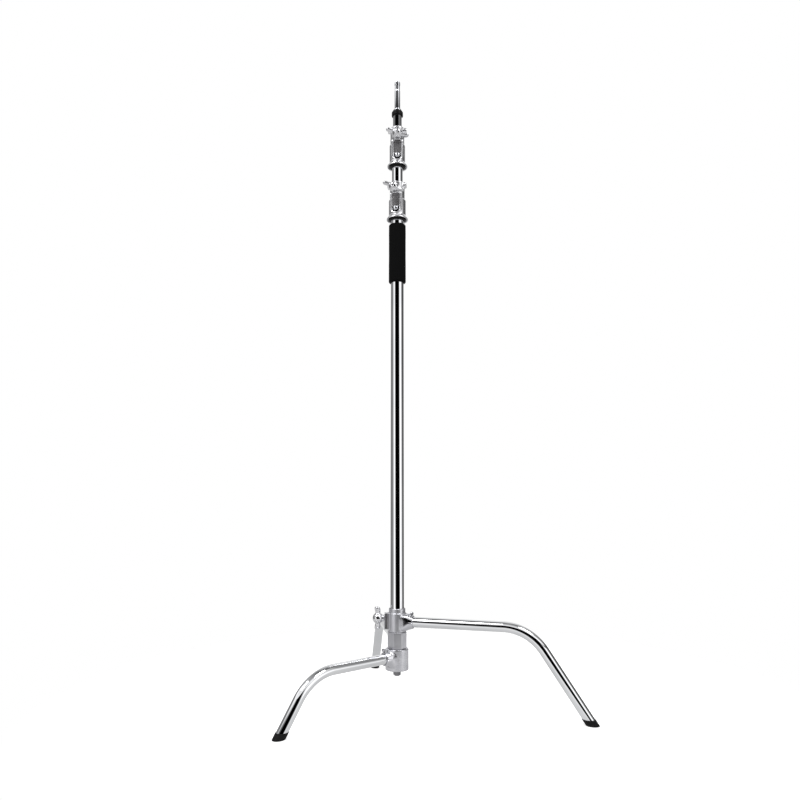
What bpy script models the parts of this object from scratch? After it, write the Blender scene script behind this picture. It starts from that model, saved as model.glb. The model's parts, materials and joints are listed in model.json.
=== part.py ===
"""A century stand (C-stand): a nesting three-leg base, a column with two risers, and a baby pin on top.

Units are metres and +Z is up. The stand is modelled around its column and then shifted so that the origin
lies under the middle of its footprint, on the floor. Every leg is drawn along its own +X and turned about
the column.
"""

import math

import bmesh
import bpy
from mathutils import Matrix, Vector

MM = 0.001

# Driving dimensions ------------------------------------------------------------------------------------
GAP = 0.35 * MM                 # clearance between pieces that touch on the real stand
TUBE_WALL = 1.8 * MM
COLUMN_RADIUS = 17.5 * MM
RISER_1_RADIUS = 15.0 * MM
RISER_2_RADIUS = 12.5 * MM
LEG_RADIUS = 12.5 * MM

COLUMN_BOTTOM = 96.5 * MM
COLUMN_TOP = 1333.0 * MM
RISER_1_BOTTOM = 300.0 * MM
RISER_1_TOP = 1496.0 * MM
RISER_2_BOTTOM = 345.0 * MM
RISER_2_TOP = 1598.0 * MM
PIN_TOP = 1691.0 * MM
PIN_RADIUS = 8.0 * MM           # 5/8 in baby pin
GRIP_BOTTOM = 1096.0 * MM
GRIP_TOP = 1262.0 * MM
GRIP_RADIUS = 23.2 * MM

LEG_SLOPE = math.radians(56.4)  # how steeply a leg runs down after its bend
LEG_BEND_RADIUS = 115.0 * MM
SOCKET_END = 43.0 * MM          # where the leg tube leaves its casting, from the column axis
SOCKET_START = 21.3 * MM
SOLE_HEIGHT = 13.5 * MM         # height of the rubber foot's skirt
SCREW_RADIUS = 4.8 * MM
PAD_POCKET_RADIUS = 7.4 * MM
HANDLE_BALL_RADIUS = 13.5 * MM

ROUND = 24                      # sides of a large round piece
SMALL_ROUND = 14                # sides of a small one
LEG_SIDES = 16                  # sides of a leg tube
HOLE_TWIST = math.radians(4.0)  # keeps a hole's edges off the edges of what it cuts

# One row for each leg: azimuth from +X, height of the tube's axis, radius of the foot, casting bottom and
# top, casting radius, and radius of the casting's bore.
LEGS = {
    "low": dict(azimuth=-139.4, height=122.7 * MM, foot=336.0 * MM, bottom=92.5 * MM, top=143.7 * MM,
                radius=29.0 * MM, bore=17.85 * MM),
    "mid": dict(azimuth=99.6, height=165.6 * MM, foot=419.0 * MM, bottom=144.2 * MM, top=184.0 * MM,
                radius=23.5 * MM, bore=17.85 * MM),
    "high": dict(azimuth=-16.0, height=208.4 * MM, foot=468.0 * MM, bottom=184.5 * MM, top=230.0 * MM,
                 radius=23.4 * MM, bore=19.05 * MM),
}
MID_SIDES = 8                   # the middle casting is an octagonal block
MID_FACE_AZIMUTH = -86.0        # the direction that one of its flat sides faces
HIGH_RIM_TOP = 241.0 * MM
HIGH_RIM_RADIUS = 20.8 * MM
HIGH_SCREW_HEIGHT = 216.5 * MM
HIGH_BAR_TILT = 82.0            # the sliding leg's T-handle stands nearly upright
HIGH_BAR_HALF_LENGTH = 29.0 * MM
HIGH_BUSH_RADIUS = 18.7 * MM
HIGH_BUSH_BOTTOM = 186.0 * MM
HIGH_BUSH_TOP = 240.0 * MM
HIGH_BOSS_FACE = 32.0 * MM      # the flanged boss of the sliding leg's clamp screw
HIGH_BOSS_HALF_WIDTH = 13.0 * MM
HIGH_BOSS_BOTTOM = 190.5 * MM
HIGH_BOSS_TOP = 229.5 * MM
FLANGE_THICKNESS = 2.5 * MM
FLANGE_GROOVE = 5.0 * MM        # width of the groove behind the flange
FLANGE_GROOVE_DEPTH = 4.0 * MM

PLUG_LENGTH = 26.0 * MM         # in the column's lower end
BASE_BOLT_RADIUS = 5.0 * MM
BASE_HEAD_RADIUS = 9.6 * MM     # across the corners
BASE_HEAD_HEIGHT = 11.6 * MM
WASHER_RADIUS = 13.0 * MM
WASHER_THICKNESS = 2.2 * MM
CAP_RADIUS = 16.0 * MM          # the black ring under the pin
CAP_BOTTOM = 1586.0 * MM
CAP_TOP = 1599.5 * MM
PIN_STEM_LENGTH = 53.0 * MM     # inside the upper riser
PIN_GROOVE_RADIUS = 7.3 * MM
PIN_GROOVE_BOTTOM = 1663.0 * MM
PIN_GROOVE_TOP = 1682.0 * MM

# The two collars share one design. A collar holds a tube in its lower bore and clamps the thinner one above.
COLLARS = {
    "lower": dict(rim=1276.0, skirt=1287.5, step=1334.0, top=1384.5, screw=1353.0, turn=-11.6, tilt=-24.5,
                  held=COLUMN_RADIUS, clamped=RISER_1_RADIUS, body=23.5, neck=20.5, flare=29.5),
    "upper": dict(rim=1432.0, skirt=1443.5, step=1497.0, top=1549.0, screw=1509.0, turn=0.0, tilt=-17.0,
                  held=RISER_1_RADIUS, clamped=RISER_2_RADIUS, body=21.75, neck=19.5, flare=28.0),
}

COLOURS = {
    "chrome": ((0.82, 0.83, 0.85), 0.08, 1.0),
    "cast_alloy": ((0.66, 0.66, 0.69), 0.38, 1.0),
    "polished_casting": ((0.74, 0.74, 0.76), 0.22, 1.0),
    "steel": ((0.60, 0.61, 0.63), 0.30, 1.0),
    "black_plastic": ((0.02, 0.02, 0.02), 0.45, 0.0),
    "rubber": ((0.015, 0.015, 0.015), 0.75, 0.0),
    "foam": ((0.012, 0.012, 0.012), 0.9, 0.0),
    "pad_plastic": ((0.10, 0.10, 0.11), 0.6, 0.0),
}


# Shapes ------------------------------------------------------------------------------------------------
def clear_scene():
    for old in list(bpy.data.objects):
        bpy.data.objects.remove(old)


def material(kind):
    """The finish of one kind of piece, made once."""
    found = bpy.data.materials.get(kind)
    if found:
        return found
    colour, roughness, metallic = COLOURS[kind]
    made = bpy.data.materials.new(kind)
    made.use_nodes = True
    shader = made.node_tree.nodes["Principled BSDF"]
    shader.inputs["Base Color"].default_value = (*colour, 1.0)
    shader.inputs["Roughness"].default_value = roughness
    shader.inputs["Metallic"].default_value = metallic
    return made


def anchor(name, parent=None, place=(0, 0, 0), turn=0.0):
    """An empty that carries pieces: placed under its parent and turned about Z, in degrees."""
    empty = bpy.data.objects.new(name, None)
    bpy.context.collection.objects.link(empty)
    empty.parent = parent
    empty.location = place
    empty.rotation_euler.z = math.radians(turn)
    return empty


def piece(name, mesh_builder, kind, parent):
    """Makes a named object from a bmesh, with its finish, and parents it."""
    bmesh.ops.recalc_face_normals(mesh_builder, faces=mesh_builder.faces)
    mesh = bpy.data.meshes.new(name)
    mesh_builder.to_mesh(mesh)
    mesh_builder.free()
    mesh.shade_smooth()
    mesh.set_sharp_from_angle(angle=math.radians(35))
    made = bpy.data.objects.new(name, mesh)
    made.data.materials.append(material(kind))
    made.parent = parent
    bpy.context.collection.objects.link(made)
    return made


def loft(rings, closed=False):
    """Joins rings of equal length into one skin, capped at both ends or closed from last ring to first."""
    shape = bmesh.new()
    rows = [[shape.verts.new(point) for point in ring] for ring in rings]
    pairs = list(zip(rows, rows[1:]))
    if closed:
        pairs.append((rows[-1], rows[0]))
    for lower, upper in pairs:
        for i in range(len(lower)):
            j = (i + 1) % len(lower)
            shape.faces.new((lower[i], lower[j], upper[j], upper[i]))
    if not closed:
        shape.faces.new(rows[0])
        shape.faces.new(rows[-1])
    return shape


def circle(radius, height, sides=ROUND):
    """A level ring about Z."""
    angles = [2 * math.pi * i / sides for i in range(sides)]
    return [Vector((radius * math.cos(a), radius * math.sin(a), height)) for a in angles]


def turned(profile, sides=ROUND):
    """A solid turned about Z from (radius, height) pairs, capped top and bottom."""
    return loft([circle(radius, height, sides) for radius, height in profile])


def turned_ring(profile, sides=ROUND):
    """A hollow turned piece: the profile is a closed outline beside the axis."""
    return loft([circle(radius, height, sides) for radius, height in profile], closed=True)


def straight_tube(radius, wall, bottom, top):
    inner = radius - wall
    return turned_ring([(radius, bottom), (radius, top), (inner, top), (inner, bottom)])


def box(low, high):
    """A block between two corners."""
    size = Vector(high) - Vector(low)
    centre = (Vector(high) + Vector(low)) / 2
    shape = bmesh.new()
    bmesh.ops.create_cube(shape, size=1.0)
    bmesh.ops.scale(shape, vec=size, verts=shape.verts)
    bmesh.ops.translate(shape, vec=centre, verts=shape.verts)
    return shape


def placed(shape, matrix):
    bmesh.ops.transform(shape, matrix=matrix, verts=shape.verts)
    return shape


def combine(target, shape, operation):
    """Cuts a shape out of a piece or joins it on, with an exact Boolean, and keeps the result as the mesh."""
    bmesh.ops.recalc_face_normals(shape, faces=shape.faces)
    tool_mesh = bpy.data.meshes.new("tool")
    shape.to_mesh(tool_mesh)
    shape.free()
    tool = bpy.data.objects.new("tool", tool_mesh)
    tool.parent = target.parent
    bpy.context.collection.objects.link(tool)
    step = target.modifiers.new("cut", "BOOLEAN")
    step.object = tool
    step.operation = operation
    step.solver = "EXACT"
    graph = bpy.context.evaluated_depsgraph_get()
    result = bpy.data.meshes.new_from_object(target.evaluated_get(graph))
    target.modifiers.clear()
    old = target.data
    target.data = result
    bpy.data.meshes.remove(old)
    bpy.data.objects.remove(tool)
    bpy.data.meshes.remove(tool_mesh)


def drill(target, radius, near, far, lay=Matrix(), sides=SMALL_ROUND):
    """Cuts a round hole along a laid-down Z; its sides are turned clear of the shapes it meets."""
    twist = Matrix.Rotation(HOLE_TWIST, 4, "Z")
    combine(target, placed(turned([(radius, near), (radius, far)], sides), lay @ twist), "DIFFERENCE")


def along(direction, place=(0, 0, 0)):
    """The matrix that lays a shape made about Z along a direction, starting at a place."""
    turn = Vector(direction).to_track_quat("Z", "Y").to_matrix().to_4x4()
    return Matrix.Translation(place) @ turn


# Legs and their castings -------------------------------------------------------------------------------
def leg_stations(leg):
    """Points and directions along a leg's axis in its XZ plane: level, round the bend, down to the sole."""
    knee = leg["foot"] - leg["height"] / math.tan(LEG_SLOPE)
    run_in = LEG_BEND_RADIUS * math.tan(LEG_SLOPE / 2)
    bend_centre = Vector((knee - run_in, 0, leg["height"] - LEG_BEND_RADIUS))
    stations = [(Vector((SOCKET_START, 0, leg["height"])), 0.0)]
    steps = 7
    for i in range(steps + 1):
        angle = LEG_SLOPE * i / steps
        offset = Vector((math.sin(angle), 0, math.cos(angle))) * LEG_BEND_RADIUS
        stations.append((bend_centre + offset, angle))
    return stations


def leg_ring(point, angle, radius, sides):
    """A ring square to the leg where its axis runs down at this angle."""
    side = Vector((0, 1, 0))
    up = Vector((math.sin(angle), 0, math.cos(angle)))
    turns = [2 * math.pi * i / sides for i in range(sides)]
    return [point + radius * (math.cos(t) * up + math.sin(t) * side) for t in turns]


def sole_ring(leg, radius, height, sides):
    """A level ring round the sloping end of the leg, as a floor-parallel cut leaves it."""
    centre = Vector((leg["foot"] - height / math.tan(LEG_SLOPE), 0, height))
    stretch = radius / math.sin(LEG_SLOPE)
    turns = [2 * math.pi * i / sides for i in range(sides)]
    return [centre + Vector((stretch * math.cos(t), radius * math.sin(t), 0)) for t in turns]


def leg_tube(name, leg, parent, sides=LEG_SIDES):
    """The bent leg: a hollow tube whose lower end is cut level with the floor."""
    skins = []
    for radius in (LEG_RADIUS, LEG_RADIUS - TUBE_WALL):
        rings = [leg_ring(point, angle, radius, sides) for point, angle in leg_stations(leg)]
        rings.append(sole_ring(leg, radius, SOLE_HEIGHT + GAP, sides))
        skins.append(rings)
    outer, inner = skins
    return piece(name, loft(outer + inner[::-1], closed=True), "chrome", parent)


def rubber_foot(name, leg, parent, sides=LEG_SIDES):
    """The black foot: a skirt under the tube's end and a plug inside it."""
    skirt = LEG_RADIUS + 0.8 * MM
    plug = LEG_RADIUS - TUBE_WALL - GAP
    edge = 1.6 * MM
    profile = [(skirt - edge, 0.0), (skirt, edge), (skirt, SOLE_HEIGHT), (plug, SOLE_HEIGHT),
               (plug, SOLE_HEIGHT + 22 * MM)]
    rings = [sole_ring(leg, radius, height, sides) for radius, height in profile]
    return piece(name, loft(rings), "rubber", parent)


def socket_section(distance, half_height, half_width, centre, squareness, sides=ROUND):
    """A section of the socket: a superellipse square to the leg, from nearly square to round."""
    ring = []
    for i in range(sides):
        t = 2 * math.pi * i / sides
        power = 2.0 / squareness
        y = half_width * math.copysign(abs(math.sin(t)) ** power, math.sin(t))
        z = half_height * math.copysign(abs(math.cos(t)) ** power, math.cos(t))
        ring.append(Vector((distance, y, centre + z)))
    return ring


LUG_START = 31.0 * MM
LUG_END = 40.5 * MM
LUG_BOLT_RISE = 18.8 * MM       # height of the pinch bolt over the leg's axis
LUG_HALF_WIDTH = 8.0 * MM
SPOT_FACE_RADIUS = 5.2 * MM     # flat seats for the bolt's head and nut


def leg_casting(name, leg, parent):
    """The hub casting: a bored barrel, a funnel-shaped socket and a split pinch lug on top of it."""
    height = leg["height"]
    sides, radius, twist = ROUND, leg["radius"], 0.0
    if name.startswith("mid"):
        sides, radius = MID_SIDES, leg["radius"] / math.cos(math.pi / MID_SIDES)
        twist = MID_FACE_AZIMUTH - leg["azimuth"] + 180.0 / MID_SIDES
    barrel = turned([(radius - 1.0 * MM, leg["bottom"]), (radius, leg["bottom"] + 1.0 * MM),
                     (radius, leg["top"] - 1.0 * MM), (radius - 1.0 * MM, leg["top"])], sides)
    casting = piece(name, placed(barrel, Matrix.Rotation(math.radians(twist), 4, "Z")), "cast_alloy", parent)
    half = (leg["top"] - leg["bottom"]) / 2 - 1.5 * MM
    middle = (leg["top"] + leg["bottom"]) / 2
    end = LEG_RADIUS + 4.3 * MM
    funnel = loft([
        socket_section(8 * MM, half, leg["radius"] - 2 * MM, middle, 5.0),
        socket_section(22 * MM, half - 1 * MM, 20.5 * MM, middle, 4.0),
        socket_section(33 * MM, end + 1.5 * MM, 18.0 * MM, height, 2.4),
        socket_section(SOCKET_END - 3 * MM, end, end, height, 2.0),
        socket_section(SOCKET_END, end - 1 * MM, end - 1 * MM, height, 2.0)])
    combine(casting, funnel, "UNION")
    lug_top = height + LUG_BOLT_RISE + 4.2 * MM
    combine(casting, box((LUG_START, -LUG_HALF_WIDTH, height + 10 * MM), (LUG_END, LUG_HALF_WIDTH, lug_top)),
            "UNION")
    if name.startswith("high"):
        add_high_clamp(casting, leg)
    bore_bottom = COLUMN_BOTTOM - GAP if name.startswith("low") else leg["bottom"] - 5 * MM
    drill(casting, leg["bore"], bore_bottom, 0.3, sides=ROUND)
    if name.startswith("low"):
        drill(casting, 5.4 * MM, 0.05, 0.12)
    outwards = along((1, 0, 0), (SOCKET_START - GAP, 0, height))
    drill(casting, LEG_RADIUS + GAP, 0.0, 40 * MM, outwards, sides=LEG_SIDES)
    middle_of_lug = (LUG_START + LUG_END) / 2
    across = along((0, 1, 0), (middle_of_lug, 0, height + LUG_BOLT_RISE))
    drill(casting, 2.9 * MM, -20 * MM, 20 * MM, across, sides=16)
    for near in (-20 * MM, LUG_HALF_WIDTH):
        far = -LUG_HALF_WIDTH if near < 0 else 20 * MM
        drill(casting, SPOT_FACE_RADIUS, near, far, across)
    slit = box((LUG_START - 4 * MM, -0.9 * MM, height + 8 * MM),
               (SOCKET_END + 2 * MM, 0.9 * MM, lug_top + 1 * MM))
    combine(casting, slit, "DIFFERENCE")
    return casting


def add_high_clamp(casting, leg):
    """The screw boss on the sliding leg's casting, opposite the socket, and the plain rim over the barrel."""
    rim = turned([(HIGH_RIM_RADIUS, leg["top"] - 6 * MM), (HIGH_RIM_RADIUS, HIGH_RIM_TOP)])
    combine(casting, rim, "UNION")
    half = HIGH_BOSS_HALF_WIDTH
    boss = box((10 * MM, -half, HIGH_BOSS_BOTTOM), (HIGH_BOSS_FACE, half, HIGH_BOSS_TOP))
    turn = Matrix.Rotation(math.radians(180.0 - leg["azimuth"]), 4, "Z")
    combine(casting, placed(boss, turn), "UNION")
    for side in (-1, 1):
        far = HIGH_BOSS_FACE - FLANGE_THICKNESS
        groove = box((far - FLANGE_GROOVE, side * half - FLANGE_GROOVE_DEPTH, HIGH_BOSS_BOTTOM - 1 * MM),
                     (far, side * half + FLANGE_GROOVE_DEPTH, HIGH_BOSS_TOP + 1 * MM))
        combine(casting, placed(groove, turn), "DIFFERENCE")
    lay = turn @ along((1, 0, 0), (0, 0, HIGH_SCREW_HEIGHT))
    drill(casting, PAD_POCKET_RADIUS, 10 * MM, 25.6 * MM, lay)
    drill(casting, SCREW_RADIUS + GAP, 20 * MM, 40 * MM, lay)


def pinch_bolt(name, leg, parent):
    """The cap screw across the pinch lug."""
    head = LUG_HALF_WIDTH + GAP
    shank, cap = 2.5 * MM, 4.3 * MM
    profile = [(shank, -LUG_HALF_WIDTH - 5.0 * MM), (shank, head), (cap, head), (cap, head + 3.6 * MM),
               (cap - 0.7 * MM, head + 4.4 * MM)]
    lay = along((0, -1, 0), ((LUG_START + LUG_END) / 2, 0, leg["height"] + LUG_BOLT_RISE))
    return piece(name, placed(turned(profile, 12), lay), "steel", parent)


def pinch_nut(name, leg, parent):
    """The hexagon nut behind the lug."""
    near = LUG_HALF_WIDTH + GAP
    outer = 4.7 * MM
    inner = (2.5 * MM + GAP / 2) / math.cos(math.radians(30))
    profile = [(outer, near), (outer, near + 4 * MM), (inner, near + 4 * MM), (inner, near)]
    lay = along((0, 1, 0), ((LUG_START + LUG_END) / 2, 0, leg["height"] + LUG_BOLT_RISE))
    return piece(name, placed(turned_ring(profile, 6), lay), "steel", parent)


def leg_set(prefix, stand):
    """One leg with its casting, foot and pinch fasteners, on an anchor turned to the leg's azimuth."""
    leg = LEGS[prefix]
    hub = anchor(f"{prefix}_leg_axis", stand, turn=leg["azimuth"])
    leg_casting(f"{prefix}_casting", leg, hub)
    leg_tube(f"{prefix}_leg", leg, hub)
    rubber_foot(f"{prefix}_foot", leg, hub)
    pinch_bolt(f"{prefix}_clamp_bolt", leg, hub)
    pinch_nut(f"{prefix}_clamp_nut", leg, hub)
    return hub


# T-handles ---------------------------------------------------------------------------------------------
BAR_HALF_LENGTH = 32.0 * MM
PAD_THICKNESS = 3.5 * MM
PAD_TRAVEL = 2.25 * MM          # one and a half turns of a 1.5 mm thread


def t_handle(prefix, hub, pad_face, boss_face, height, tilt, half_length=BAR_HALF_LENGTH):
    """A clamp screw with a cast T-handle, lying along the anchor's +X, and the brake pad at its tip."""
    lay = along((1, 0, 0), (0, 0, height))
    pad = [(6.4 * MM, pad_face), (7.0 * MM, pad_face + 0.6 * MM), (7.0 * MM, pad_face + PAD_THICKNESS)]
    piece(f"{prefix}_brake_pad", placed(turned(pad, SMALL_ROUND), lay), "pad_plastic", hub)
    tip = pad_face + PAD_THICKNESS + GAP
    ball = boss_face + 3 * MM + HANDLE_BALL_RADIUS
    screw = [(3.6 * MM, tip), (SCREW_RADIUS, tip + 1.2 * MM), (SCREW_RADIUS, ball - 2 * MM)]
    piece(f"{prefix}_screw", placed(turned(screw, SMALL_ROUND), lay), "steel", hub)
    neck = [(8.2 * MM, boss_face + 1.0 * MM), (8.6 * MM, boss_face + 4.0 * MM)]
    arcs = [math.radians(a) for a in (-48, -24, 0, 24, 48, 72)]
    dome = [(HANDLE_BALL_RADIUS * math.cos(a), ball + HANDLE_BALL_RADIUS * math.sin(a)) for a in arcs]
    handle = piece(f"{prefix}_t_handle", placed(turned(neck + dome, 16), lay), "polished_casting", hub)
    swing = Matrix.Translation((ball, 0, height)) @ Matrix.Rotation(math.radians(tilt), 4, "X")
    combine(handle, placed(handle_bar(half_length), swing), "UNION")
    drill(handle, SCREW_RADIUS + GAP, 0.0, ball - 2 * MM + GAP, lay)


def handle_bar(half_length, sides=10):
    """The bar along Y: round in the middle, with paddle-shaped wings that curl outwards a little."""
    wing = ((1.0, 3.0, 4.2), (0.93, 4.6, 6.4), (0.72, 5.4, 7.2), (0.42, 5.6, 6.2))
    stations = [(-share, tall, deep) for share, tall, deep in wing] + [(0.0, 6.6, 6.6)] + list(wing[::-1])
    rings = []
    for share, tall, deep in stations:
        curl = 2.5 * MM * abs(share) ** 3
        turns = [2 * math.pi * i / sides for i in range(sides)]
        rings.append([Vector((curl + deep * MM * math.sin(t), share * half_length, tall * MM * math.cos(t)))
                      for t in turns])
    return loft(rings)


# Column, risers and collars ----------------------------------------------------------------------------
RAIL_RADIUS = 3.4 * MM          # the two upright rails beside a collar's recess
RAIL_SPREAD = 13.4 * MM
RAIL_DROP = 55.0 * MM           # from the screw down to the rails' lower ends
RECESS_HALF_WIDTH = 10.2 * MM
EAR_RADIUS = 8.5 * MM           # the lugs at the sides of a collar's mouth
EAR_REACH = 26.0 * MM
EAR_FORWARD = 4.0 * MM
EAR_DROP = 10.0 * MM


def clamp_collar(prefix, collar, parent):
    """A clamp collar: skirt, held tube's bore, clamped tube's bore, screw boss, recess, bolt and slot."""
    body, neck, flare = (collar[key] * MM for key in ("body", "neck", "flare"))
    step, top, screw = (collar[key] * MM for key in ("step", "top", "screw"))
    rim, skirt = (collar[key] * MM for key in ("rim", "skirt"))
    held = collar["held"] + GAP
    clamped = collar["clamped"] + GAP
    hub = anchor(f"{prefix}_collar_axis", parent, turn=-90.0 + collar["turn"])
    ring_radius = body - 1.6 * MM
    shell = piece(f"{prefix}_collar", turned_ring([
        (held, skirt), (held, step - 1 * MM + GAP), (clamped, step - 1 * MM + GAP), (clamped, top),
        (neck - 2.0 * MM, top), (neck, top - 3 * MM), (neck, step + 1.5 * MM), (body, step - 2.5 * MM),
        (body, skirt + 0.5 * MM), (flare, rim + 2.5 * MM), (flare, rim), (flare - 1.5 * MM, rim),
        (ring_radius + GAP, skirt - 1.5 * MM), (ring_radius + GAP, skirt)]), "polished_casting", hub)
    boss_face = 31.0 * MM
    lay = along((1, 0, 0), (0, 0, screw))
    boss = turned([(neck - 4 * MM, held + 1.0 * MM), (14.0 * MM, neck + 1.5 * MM),
                   (10.0 * MM, boss_face)], 16)
    combine(shell, placed(boss, lay), "UNION")
    for side in (-1, 1):
        rail = turned([(RAIL_RADIUS - 2.4 * MM, screw - RAIL_DROP), (RAIL_RADIUS, screw - RAIL_DROP + 3 * MM),
                       (RAIL_RADIUS, screw - 6 * MM), (RAIL_RADIUS - 2.4 * MM, screw - 3 * MM)], SMALL_ROUND)
        combine(shell, placed(rail, Matrix.Translation((body - 4.4 * MM, side * RAIL_SPREAD, 0))), "UNION")
        start = clamped + 2.5 * MM
        ear = turned([(EAR_RADIUS, start), (EAR_RADIUS, EAR_REACH - 2 * MM),
                      (EAR_RADIUS - 2 * MM, EAR_REACH)], SMALL_ROUND)
        combine(shell, placed(ear, along((0, side, 0), (EAR_FORWARD, 0, top - EAR_DROP))), "UNION")
    recess_top = screw - 8.0 * MM
    recess_bottom = screw - 42.5 * MM
    recess_floor = held + 1.6 * MM
    combine(shell, box((recess_floor, -RECESS_HALF_WIDTH, recess_bottom),
                       (boss_face - 4 * MM, RECESS_HALF_WIDTH, recess_top)), "DIFFERENCE")
    drill(shell, PAD_POCKET_RADIUS, 6 * MM, clamped + 7.0 * MM, lay)
    drill(shell, SCREW_RADIUS + GAP, 10 * MM, 40 * MM, lay)
    return hub, boss_face, ring_radius, rim, skirt


def collar_bolt(prefix, collar, hub):
    """The domed bolt under the recess, screwed into the collar's wall."""
    body = collar["body"] * MM
    height = collar["screw"] * MM - 50.0 * MM
    face = body + GAP
    dome = [(9.4 * MM * math.cos(a), face + 4.6 * MM * math.sin(a)) for a in (0.0, 0.5, 1.0, 1.4)]
    piece(f"{prefix}_collar_bolt", placed(turned(dome, 16), along((1, 0, 0), (0, 0, height))), "steel", hub)


def collar_set(prefix, stand):
    collar = COLLARS[prefix]
    hub, boss_face, ring_radius, rim, skirt = clamp_collar(prefix, collar, stand)
    inner = collar["held"] + GAP
    bumper = [(ring_radius, skirt - GAP), (inner, skirt - GAP), (inner, rim - 3.0 * MM),
              (ring_radius - 2 * MM, rim - 3.0 * MM), (ring_radius, rim - 1.0 * MM)]
    piece(f"{prefix}_collar_ring", turned_ring(bumper), "black_plastic", hub)
    collar_bolt(prefix, collar, hub)
    t_handle(prefix, hub, collar["clamped"] + 0.6 * MM, boss_face, collar["screw"] * MM, collar["tilt"])


def glide_bush(name, tube_radius, tube_bottom, stand):
    """The plastic bush in a riser's lower end: it glides in the tube outside."""
    flange = tube_radius + 0.35 * MM
    spigot = tube_radius - TUBE_WALL - GAP
    bore = spigot - 3.0 * MM
    bottom = tube_bottom - 14 * MM
    top = tube_bottom + 16 * MM
    shelf = tube_bottom - GAP
    profile = [(bore, bottom), (flange - 0.8 * MM, bottom), (flange, bottom + 0.8 * MM), (flange, shelf),
               (spigot, shelf), (spigot, top), (bore, top)]
    piece(name, turned_ring(profile), "black_plastic", stand)


def base_fasteners(stand):
    """The plug in the column's lower end, and the bolt and washer that draw it into the low casting."""
    hole = BASE_BOLT_RADIUS + GAP
    plug = COLUMN_RADIUS - TUBE_WALL - GAP
    bottom = COLUMN_BOTTOM + 1 * MM
    top = bottom + PLUG_LENGTH
    sleeve = [(plug, bottom), (plug, top), (hole, top), (hole, bottom)]
    piece("column_plug", turned_ring(sleeve), "steel", stand)
    under = LEGS["low"]["bottom"] - GAP
    seat = under - WASHER_THICKNESS
    washer = [(WASHER_RADIUS, seat), (WASHER_RADIUS, under), (hole, under), (hole, seat)]
    piece("base_washer", turned_ring(washer), "steel", stand)
    foot, across = seat - GAP - BASE_HEAD_HEIGHT, BASE_HEAD_RADIUS
    head = [(across - 3.1 * MM, foot), (across, foot + 2.5 * MM), (across, seat - GAP)]
    bolt = piece("base_bolt", turned(head, 6), "steel", stand)
    shank = [(BASE_BOLT_RADIUS, foot + 6 * MM), (BASE_BOLT_RADIUS, top - 4 * MM)]
    combine(bolt, turned(shank, SMALL_ROUND), "UNION")


def top_fittings(stand):
    """The black ring round the upper riser's end, and the baby pin, whose shoulder rests on the tube."""
    sleeve = RISER_2_RADIUS + GAP
    ring = [(sleeve, CAP_BOTTOM), (CAP_RADIUS, CAP_BOTTOM), (CAP_RADIUS, CAP_TOP - 3 * MM),
            (CAP_RADIUS - 2 * MM, CAP_TOP), (sleeve, CAP_TOP)]
    piece("top_cap", turned_ring(ring), "black_plastic", stand)
    stem = RISER_2_RADIUS - TUBE_WALL - GAP
    seat = RISER_2_TOP + GAP
    pin = [(stem, RISER_2_TOP - PIN_STEM_LENGTH), (stem, seat), (RISER_2_RADIUS - 0.2 * MM, seat),
           (RISER_2_RADIUS - 0.2 * MM, seat + 5 * MM), (RISER_2_RADIUS - 2 * MM, seat + 8 * MM),
           (PIN_RADIUS, seat + 9.5 * MM), (PIN_RADIUS, PIN_GROOVE_BOTTOM),
           (PIN_GROOVE_RADIUS, PIN_GROOVE_BOTTOM + 2.5 * MM), (PIN_GROOVE_RADIUS, PIN_GROOVE_TOP - 2.5 * MM),
           (PIN_RADIUS, PIN_GROOVE_TOP), (PIN_RADIUS, PIN_TOP - 1.6 * MM), (PIN_RADIUS - 1.6 * MM, PIN_TOP)]
    piece("baby_pin", turned(pin), "steel", stand)


def foam_grip(stand):
    """The foam sleeve that the stand is carried by, with soft round ends."""
    edge = 4.0 * MM
    inner = COLUMN_RADIUS + GAP
    arc = [math.radians(a) for a in (0, 45, 90)]
    top = [(GRIP_RADIUS - edge + edge * math.cos(a), GRIP_TOP - edge + edge * math.sin(a)) for a in arc]
    bottom = [(GRIP_RADIUS - edge + edge * math.cos(a), GRIP_BOTTOM + edge - edge * math.sin(a)) for a in arc]
    outline = bottom[::-1] + top + [(inner, GRIP_TOP), (inner, GRIP_BOTTOM)]
    piece("foam_grip", turned_ring(outline), "foam", stand)


def centre_on_footprint(stand):
    """Shifts the whole stand so that the middle of its box stands over the origin."""
    bpy.context.view_layer.update()
    corners = [item.matrix_world @ Vector(corner) for item in bpy.data.objects if item.type == "MESH"
               for corner in (vertex.co for vertex in item.data.vertices)]
    for axis in (0, 1):
        values = [corner[axis] for corner in corners]
        stand.location[axis] = -(min(values) + max(values)) / 2
    bpy.context.view_layer.update()


def high_bush(stand):
    """The plastic sleeve in the high casting: the leg turns on it, and both slide on the column."""
    bore = COLUMN_RADIUS + GAP
    bush = [(bore, HIGH_BUSH_BOTTOM), (HIGH_BUSH_RADIUS, HIGH_BUSH_BOTTOM), (HIGH_BUSH_RADIUS, HIGH_BUSH_TOP),
            (bore, HIGH_BUSH_TOP)]
    piece("high_bush", turned_ring(bush), "black_plastic", stand)


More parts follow.
